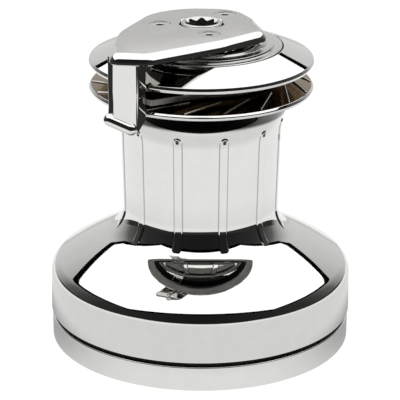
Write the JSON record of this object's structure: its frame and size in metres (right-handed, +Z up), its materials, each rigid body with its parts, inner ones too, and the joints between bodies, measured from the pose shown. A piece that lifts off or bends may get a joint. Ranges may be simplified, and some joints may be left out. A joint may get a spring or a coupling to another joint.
{
  "type": "sailboat winch",
  "caption": "Self-tailing sailboat winch: polished drum on a geared base, ribbed rope jaws, feeder arm and star handle socket.",
  "frame": {"origin": "middle of the base plate's underside, on the drum's axis", "axes": "+Z up along the drum's axis towards the handle socket; -Y is the side from which the feeder arm shows at the front left"},
  "size_m": [0.2174, 0.2172, 0.2337],
  "materials": {
    "polished_stainless": "cast stainless steel, mirror polished",
    "turned_stainless": "turned stainless steel",
    "satin_stainless": "stainless steel sheet, satin",
    "cast_aluminium": "cast and hard anodised aluminium",
    "black_rubber": "matt moulded rubber",
    "bearing_plastic": "moulded acetal",
    "bronze": "machined aluminium bronze, lightly greased",
    "spring_steel": "spring steel",
    "machined_steel": "hobbed steel, lightly greased"
  },
  "bodies": {
    "frame": {"base_plate": "polished_stainless", "skirt_seal": "black_rubber", "centre_stem": "cast_aluminium", "stem_screws": "machined_steel", "second_speed_pin": "machined_steel", "idler_pin": "machined_steel", "first_speed_pin": "machined_steel", "gear_washers": "bronze", "base_bush": "bronze", "lower_spindle_bush": "bronze", "upper_spindle_bush": "bronze", "thrust_washer": "bearing_plastic", "bearing_spacer": "bearing_plastic", "bearing_circlip": "spring_steel", "drum_collets": "bronze", "self_tailing_arm": "polished_stainless", "cap_screws": "turned_stainless", "line_stripper": "satin_stainless"},
    "drum": {"drum": "polished_stainless", "ring_gear": "machined_steel", "ring_gear_pins": "machined_steel", "lower_jaw": "polished_stainless", "jaw_dowels": "machined_steel", "jaw_retainer": "polished_stainless", "jaw_springs": "spring_steel"},
    "upper_jaw": {"upper_jaw": "polished_stainless"},
    "spindle": {"spindle": "turned_stainless", "spindle_gear": "machined_steel", "spindle_circlip": "spring_steel", "pawl_carrier": "machined_steel", "first_pawl_springs": "spring_steel"},
    "first_pawl_1": {"first_pawl_1": "bronze"},
    "first_pawl_2": {"first_pawl_2": "bronze"},
    "first_pawl_3": {"first_pawl_3": "bronze"},
    "ratchet_gear": {"ratchet_gear": "machined_steel"},
    "idler_gear": {"idler_gear": "machined_steel"},
    "drum_pinion": {"drum_pinion": "machined_steel"},
    "second_speed_gear": {"second_speed_gear": "machined_steel"},
    "second_speed_pinion": {"second_speed_pinion": "machined_steel", "second_pawl_springs": "spring_steel"},
    "second_pawl_1": {"second_pawl_1": "bronze"},
    "second_pawl_2": {"second_pawl_2": "bronze"},
    "second_pawl_3": {"second_pawl_3": "bronze"},
    "lower_bearing": {"lower_roller_cage": "bearing_plastic", "lower_rollers": "machined_steel"},
    "upper_bearing": {"upper_roller_cage": "bearing_plastic", "upper_rollers": "machined_steel"}
  },
  "joints": [
    {"name": "drum_spin", "type": "hinge", "parent": "frame", "child": "drum", "pos_m": [0, 0, 0.04], "axis": [0, 0, 1], "continuous": true},
    {"name": "spindle_spin", "type": "hinge", "parent": "frame", "child": "spindle", "pos_m": [0, 0, 0.04], "axis": [0, 0, 1], "continuous": true},
    {"name": "ratchet_gear_spin", "type": "hinge", "parent": "frame", "child": "ratchet_gear", "pos_m": [0, 0, 0.04], "axis": [0, 0, 1], "continuous": true},
    {"name": "idler_spin", "type": "hinge", "parent": "frame", "child": "idler_gear", "pos_m": [0.046, 0, 0.04], "axis": [0, 0, 1], "continuous": true},
    {"name": "drum_pinion_spin", "type": "hinge", "parent": "frame", "child": "drum_pinion", "pos_m": [0.079, 0, 0.04], "axis": [0, 0, 1], "continuous": true},
    {"name": "second_speed_gear_spin", "type": "hinge", "parent": "frame", "child": "second_speed_gear", "pos_m": [-0.056, 0, 0.04], "axis": [0, 0, 1], "continuous": true},
    {"name": "second_speed_pinion_spin", "type": "hinge", "parent": "frame", "child": "second_speed_pinion", "pos_m": [-0.056, 0, 0.04], "axis": [0, 0, 1], "continuous": true},
    {"name": "lower_bearing_roll", "type": "hinge", "parent": "frame", "child": "lower_bearing", "pos_m": [0, 0, 0.04], "axis": [0, 0, 1], "continuous": true},
    {"name": "upper_bearing_roll", "type": "hinge", "parent": "frame", "child": "upper_bearing", "pos_m": [0, 0, 0.04], "axis": [0, 0, 1], "continuous": true},
    {"name": "jaw_slide", "type": "slide", "parent": "drum", "child": "upper_jaw", "axis": [0, 0, 1], "range_m": [0, 0.004], "stiffness_N_per_m": 3000, "springref_m": -0.004, "deforming": ["jaw_springs"]},
    {"name": "first_pawl_1_swing", "type": "hinge", "parent": "spindle", "child": "first_pawl_1", "pos_m": [0.0156, 0, 0.033], "axis": [0, 0, 1], "range_deg": [-18, 0], "stiffness_Nm_per_rad": 0.002, "springref_deg": 20.05},
    {"name": "first_pawl_2_swing", "type": "hinge", "parent": "spindle", "child": "first_pawl_2", "pos_m": [-0.0078, -0.01351, 0.033], "axis": [0, 0, 1], "range_deg": [-18, 0], "stiffness_Nm_per_rad": 0.002, "springref_deg": 20.05},
    {"name": "first_pawl_3_swing", "type": "hinge", "parent": "spindle", "child": "first_pawl_3", "pos_m": [-0.0078, 0.01351, 0.033], "axis": [0, 0, 1], "range_deg": [-18, 0], "stiffness_Nm_per_rad": 0.002, "springref_deg": 20.05},
    {"name": "second_pawl_1_swing", "type": "hinge", "parent": "second_speed_pinion", "child": "second_pawl_1", "pos_m": [-0.0404, 0, 0.023], "axis": [0, 0, 1], "range_deg": [-18, 0], "stiffness_Nm_per_rad": 0.002},
    {"name": "second_pawl_2_swing", "type": "hinge", "parent": "second_speed_pinion", "child": "second_pawl_2", "pos_m": [-0.0638, 0.01351, 0.023], "axis": [0, 0, 1], "range_deg": [-18, 0], "stiffness_Nm_per_rad": 0.002},
    {"name": "second_pawl_3_swing", "type": "hinge", "parent": "second_speed_pinion", "child": "second_pawl_3", "pos_m": [-0.0638, -0.01351, 0.023], "axis": [0, 0, 1], "range_deg": [-18, 0], "stiffness_Nm_per_rad": 0.002}
  ],
  "couplings": [
    {"joint": "spindle_spin", "follows": "drum_spin", "ratio": 3.2},
    {"joint": "ratchet_gear_spin", "follows": "drum_spin", "ratio": 3.2},
    {"joint": "idler_spin", "follows": "drum_spin", "ratio": -6},
    {"joint": "drum_pinion_spin", "follows": "drum_spin", "ratio": 5.6471},
    {"joint": "second_speed_gear_spin", "follows": "drum_spin", "ratio": -1.0667},
    {"joint": "second_speed_pinion_spin", "follows": "drum_spin", "ratio": 2.4},
    {"joint": "lower_bearing_roll", "follows": "drum_spin", "ratio": 0.45455},
    {"joint": "upper_bearing_roll", "follows": "drum_spin", "ratio": 0.45455}
  ]
}
